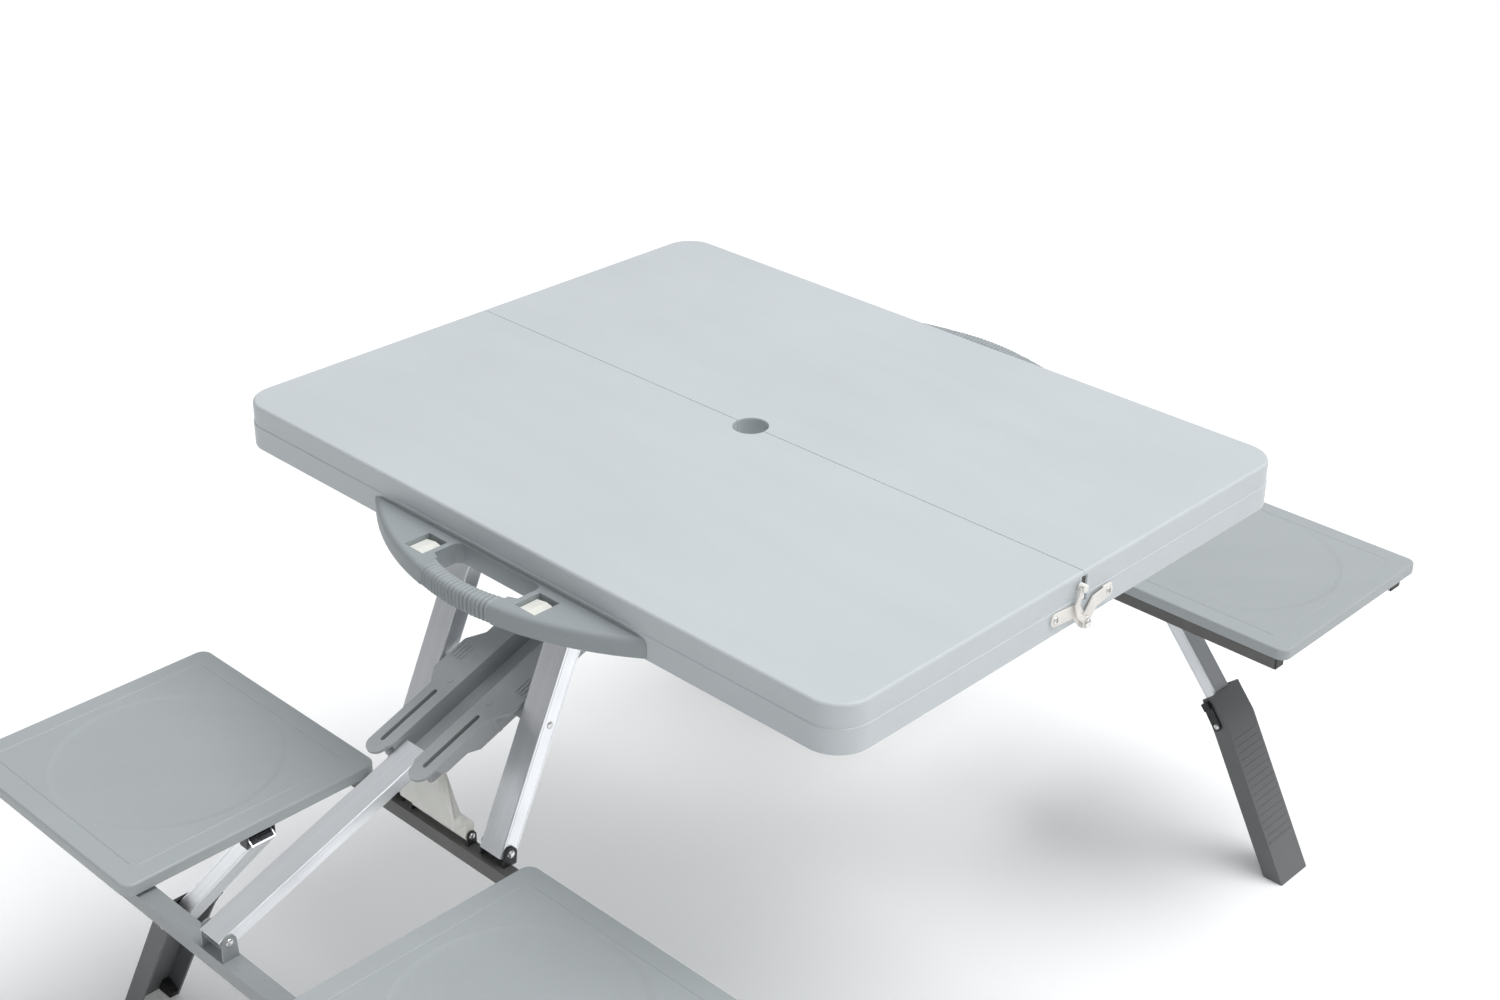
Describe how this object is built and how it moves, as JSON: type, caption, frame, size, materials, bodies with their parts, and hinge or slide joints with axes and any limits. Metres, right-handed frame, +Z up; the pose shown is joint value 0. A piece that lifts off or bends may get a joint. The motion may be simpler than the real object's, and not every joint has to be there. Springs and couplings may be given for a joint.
{
  "type": "folding picnic table",
  "caption": "Folding suitcase picnic table with a hinged two-part top, umbrella hole, carry handle and fold-out benches on aluminium legs.",
  "frame": {"origin": "on the ground, under the middle of the tabletop", "axes": "+X along the middle seam, +Y towards the back bench, +Z up; the carrying handle with the latches is at -Y"},
  "size_m": [0.8662, 1.4, 0.66],
  "materials": {
    "top_plastic": "light grey moulded plastic, fine satin grain",
    "handle_plastic": "mid grey moulded plastic, satin",
    "hub_plastic": "grey glass-filled moulded plastic, satin",
    "seat_plastic": "mid grey moulded plastic, fine grain",
    "leg_plastic": "dark grey ribbed moulded plastic",
    "aluminium": "extruded, satin anodised",
    "dark_steel": "dark grey-brown powder coat on steel tube",
    "black_steel": "black coated pressed steel",
    "white_enamel": "cream white enamel on steel",
    "nylon": "natural white nylon, slightly glossy",
    "bright_steel": "bright zinc plated screws and rivets",
    "rubber": "black rubber pads"
  },
  "bodies": {
    "front_case": {"front_half_top": "top_plastic", "front_handle": "handle_plastic", "hinge_plate_front_left": "white_enamel", "hinge_plate_front_right": "white_enamel", "lock_peg_left": "nylon", "lock_peg_right": "nylon", "front_leg_hanger_left": "black_steel", "front_leg_hanger_right": "black_steel", "front_strut_bracket": "black_steel"},
    "back_case": {"back_half_top": "top_plastic", "back_handle": "handle_plastic", "hinge_plate_back_left": "white_enamel", "hinge_plate_back_right": "white_enamel", "back_leg_hanger_left": "black_steel", "back_leg_hanger_right": "black_steel", "back_strut_bracket": "black_steel"},
    "lock_arm_left": {"lock_arm_left": "white_enamel"},
    "handle_latch_left": {"handle_latch_left": "nylon"},
    "lock_arm_right": {"lock_arm_right": "white_enamel"},
    "handle_latch_right": {"handle_latch_right": "nylon"},
    "front_legs": {"front_leg_left": "aluminium", "front_leg_right": "aluminium"},
    "front_bench": {"front_seat_left": "seat_plastic", "front_seat_right": "seat_plastic", "front_seat_rail": "dark_steel", "front_outer_beam": "seat_plastic", "front_leg_bracket_left": "black_steel", "front_leg_bracket_right": "black_steel"},
    "front_hub": {"front_hub": "hub_plastic"},
    "front_stay_tube": {"front_stay_tube": "aluminium"},
    "front_prop": {"front_prop": "nylon"},
    "front_strut": {"front_strut": "dark_steel"},
    "front_upper_leg_left": {"front_upper_leg_left": "aluminium"},
    "front_shin_left": {"front_shin_left": "leg_plastic"},
    "front_knee_latch_left": {"front_knee_latch_left": "black_steel"},
    "front_upper_leg_right": {"front_upper_leg_right": "aluminium"},
    "front_shin_right": {"front_shin_right": "leg_plastic"},
    "front_knee_latch_right": {"front_knee_latch_right": "black_steel"},
    "back_legs": {"back_leg_left": "aluminium", "back_leg_right": "aluminium"},
    "back_bench": {"back_seat_left": "seat_plastic", "back_seat_right": "seat_plastic", "back_seat_rail": "dark_steel", "back_outer_beam": "seat_plastic", "back_leg_bracket_left": "black_steel", "back_leg_bracket_right": "black_steel"},
    "back_hub": {"back_hub": "hub_plastic"},
    "back_stay_tube": {"back_stay_tube": "aluminium"},
    "back_prop": {"back_prop": "nylon"},
    "back_strut": {"back_strut": "dark_steel"},
    "back_upper_leg_left": {"back_upper_leg_left": "aluminium"},
    "back_shin_left": {"back_shin_left": "leg_plastic"},
    "back_knee_latch_left": {"back_knee_latch_left": "black_steel"},
    "back_upper_leg_right": {"back_upper_leg_right": "aluminium"},
    "back_shin_right": {"back_shin_right": "leg_plastic"},
    "back_knee_latch_right": {"back_knee_latch_right": "black_steel"}
  },
  "joints": [
    {"name": "case_fold", "type": "hinge", "parent": "front_case", "child": "back_case", "pos_m": [0, 0, 0.6085], "axis": [-1, 0, 0], "range_deg": [0, 80]},
    {"name": "lock_arm_swing_left", "type": "hinge", "parent": "front_case", "child": "lock_arm_left", "pos_m": [-0.4303, 0, 0.6085], "axis": [1, 0, 0], "range_deg": [0, 60]},
    {"name": "handle_latch_slide_left", "type": "slide", "parent": "front_case", "child": "handle_latch_left", "axis": [0, 1, 0], "range_m": [0, 0.0035], "stiffness_N_per_m": 300, "springref_m": -0.003},
    {"name": "lock_arm_swing_right", "type": "hinge", "parent": "front_case", "child": "lock_arm_right", "pos_m": [0.4303, 0, 0.6085], "axis": [1, 0, 0], "range_deg": [0, 60]},
    {"name": "handle_latch_slide_right", "type": "slide", "parent": "front_case", "child": "handle_latch_right", "axis": [0, 1, 0], "range_m": [0, 0.0035], "stiffness_N_per_m": 300, "springref_m": -0.003},
    {"name": "front_bench_fold", "type": "hinge", "parent": "front_case", "child": "front_legs", "pos_m": [0, -0.2988, 0.6365], "axis": [1, 0, 0], "range_deg": [0, 116.2]},
    {"name": "front_seat_level", "type": "hinge", "parent": "front_legs", "child": "front_bench", "pos_m": [0, -0.416, 0.387], "axis": [1, 0, 0], "range_deg": [-116.7, 0]},
    {"name": "front_hub_turn", "type": "hinge", "parent": "front_legs", "child": "front_hub", "pos_m": [0, -0.36058, 0.50499], "axis": [1, 0, 0], "range_deg": [-136.72, 0]},
    {"name": "front_stay_slide", "type": "slide", "parent": "front_hub", "child": "front_stay_tube", "axis": [0, 0.9396, 0.3423], "range_m": [0, 0.2066]},
    {"name": "front_prop_fold", "type": "hinge", "parent": "front_bench", "child": "front_prop", "pos_m": [0, -0.422, 0.385], "axis": [1, 0, 0], "range_deg": [0, 100.5]},
    {"name": "front_strut_swing", "type": "hinge", "parent": "front_case", "child": "front_strut", "pos_m": [0, -0.1, 0.65], "axis": [1, 0, 0], "range_deg": [-31.02, 0]},
    {"name": "front_upper_leg_fold_left", "type": "hinge", "parent": "front_bench", "child": "front_upper_leg_left", "pos_m": [-0.124, -0.55, 0.3665], "axis": [0, 1, 0], "range_deg": [0, 49.27]},
    {"name": "front_knee_left", "type": "hinge", "parent": "front_upper_leg_left", "child": "front_shin_left", "pos_m": [-0.2863, -0.55, 0.178], "axis": [0, 1, 0], "range_deg": [-168.78, 0]},
    {"name": "front_knee_latch_swing_left", "type": "hinge", "parent": "front_shin_left", "child": "front_knee_latch_left", "pos_m": [-0.2863, -0.5202, 0.178], "axis": [0, -1, 0], "range_deg": [0, 18], "stiffness_Nm_per_rad": 0.05, "springref_deg": -17.19},
    {"name": "front_upper_leg_fold_right", "type": "hinge", "parent": "front_bench", "child": "front_upper_leg_right", "pos_m": [0.124, -0.55, 0.3665], "axis": [0, -1, 0], "range_deg": [0, 49.27]},
    {"name": "front_knee_right", "type": "hinge", "parent": "front_upper_leg_right", "child": "front_shin_right", "pos_m": [0.2863, -0.55, 0.178], "axis": [0, -1, 0], "range_deg": [-168.78, 0]},
    {"name": "front_knee_latch_swing_right", "type": "hinge", "parent": "front_shin_right", "child": "front_knee_latch_right", "pos_m": [0.2863, -0.5202, 0.178], "axis": [0, 1, 0], "range_deg": [0, 18], "stiffness_Nm_per_rad": 0.05, "springref_deg": -17.19},
    {"name": "back_bench_fold", "type": "hinge", "parent": "back_case", "child": "back_legs", "pos_m": [0, 0.2988, 0.6365], "axis": [-1, 0, 0], "range_deg": [0, 116.2]},
    {"name": "back_seat_level", "type": "hinge", "parent": "back_legs", "child": "back_bench", "pos_m": [0, 0.416, 0.387], "axis": [-1, 0, 0], "range_deg": [-116.7, 0]},
    {"name": "back_hub_turn", "type": "hinge", "parent": "back_legs", "child": "back_hub", "pos_m": [0, 0.36058, 0.50499], "axis": [-1, 0, 0], "range_deg": [-136.72, 0]},
    {"name": "back_stay_slide", "type": "slide", "parent": "back_hub", "child": "back_stay_tube", "axis": [0, -0.9396, 0.3423], "range_m": [0, 0.2066]},
    {"name": "back_prop_fold", "type": "hinge", "parent": "back_bench", "child": "back_prop", "pos_m": [0, 0.422, 0.385], "axis": [-1, 0, 0], "range_deg": [0, 100.5]},
    {"name": "back_strut_swing", "type": "hinge", "parent": "back_case", "child": "back_strut", "pos_m": [0, 0.1, 0.65], "axis": [-1, 0, 0], "range_deg": [-31.02, 0]},
    {"name": "back_upper_leg_fold_left", "type": "hinge", "parent": "back_bench", "child": "back_upper_leg_left", "pos_m": [-0.124, 0.55, 0.3665], "axis": [0, 1, 0], "range_deg": [0, 49.27]},
    {"name": "back_knee_left", "type": "hinge", "parent": "back_upper_leg_left", "child": "back_shin_left", "pos_m": [-0.2863, 0.55, 0.178], "axis": [0, 1, 0], "range_deg": [-168.78, 0]},
    {"name": "back_knee_latch_swing_left", "type": "hinge", "parent": "back_shin_left", "child": "back_knee_latch_left", "pos_m": [-0.2863, 0.5202, 0.178], "axis": [0, -1, 0], "range_deg": [0, 18], "stiffness_Nm_per_rad": 0.05, "springref_deg": -17.19},
    {"name": "back_upper_leg_fold_right", "type": "hinge", "parent": "back_bench", "child": "back_upper_leg_right", "pos_m": [0.124, 0.55, 0.3665], "axis": [0, -1, 0], "range_deg": [0, 49.27]},
    {"name": "back_knee_right", "type": "hinge", "parent": "back_upper_leg_right", "child": "back_shin_right", "pos_m": [0.2863, 0.55, 0.178], "axis": [0, -1, 0], "range_deg": [-168.78, 0]},
    {"name": "back_knee_latch_swing_right", "type": "hinge", "parent": "back_shin_right", "child": "back_knee_latch_right", "pos_m": [0.2863, 0.5202, 0.178], "axis": [0, 1, 0], "range_deg": [0, 18], "stiffness_Nm_per_rad": 0.05, "springref_deg": -17.19}
  ],
  "couplings": [
    {"joint": "front_seat_level", "follows": "front_bench_fold", "ratio": -1},
    {"joint": "front_hub_turn", "follows": "front_bench_fold", "ratio": -1.1723},
    {"joint": "front_stay_slide", "follows": "front_bench_fold", "m_per_rad": 0.10157},
    {"joint": "front_prop_fold", "follows": "front_bench_fold", "ratio": 0.86059},
    {"joint": "front_strut_swing", "follows": "front_bench_fold", "ratio": -0.26265},
    {"joint": "front_knee_left", "follows": "front_upper_leg_fold_left", "ratio": -3.4155},
    {"joint": "front_knee_right", "follows": "front_upper_leg_fold_right", "ratio": -3.4155},
    {"joint": "back_seat_level", "follows": "back_bench_fold", "ratio": -1},
    {"joint": "back_hub_turn", "follows": "back_bench_fold", "ratio": -1.1723},
    {"joint": "back_stay_slide", "follows": "back_bench_fold", "m_per_rad": 0.10157},
    {"joint": "back_prop_fold", "follows": "back_bench_fold", "ratio": 0.86059},
    {"joint": "back_strut_swing", "follows": "back_bench_fold", "ratio": -0.26265},
    {"joint": "back_knee_left", "follows": "back_upper_leg_fold_left", "ratio": -3.4155},
    {"joint": "back_knee_right", "follows": "back_upper_leg_fold_right", "ratio": -3.4155}
  ]
}
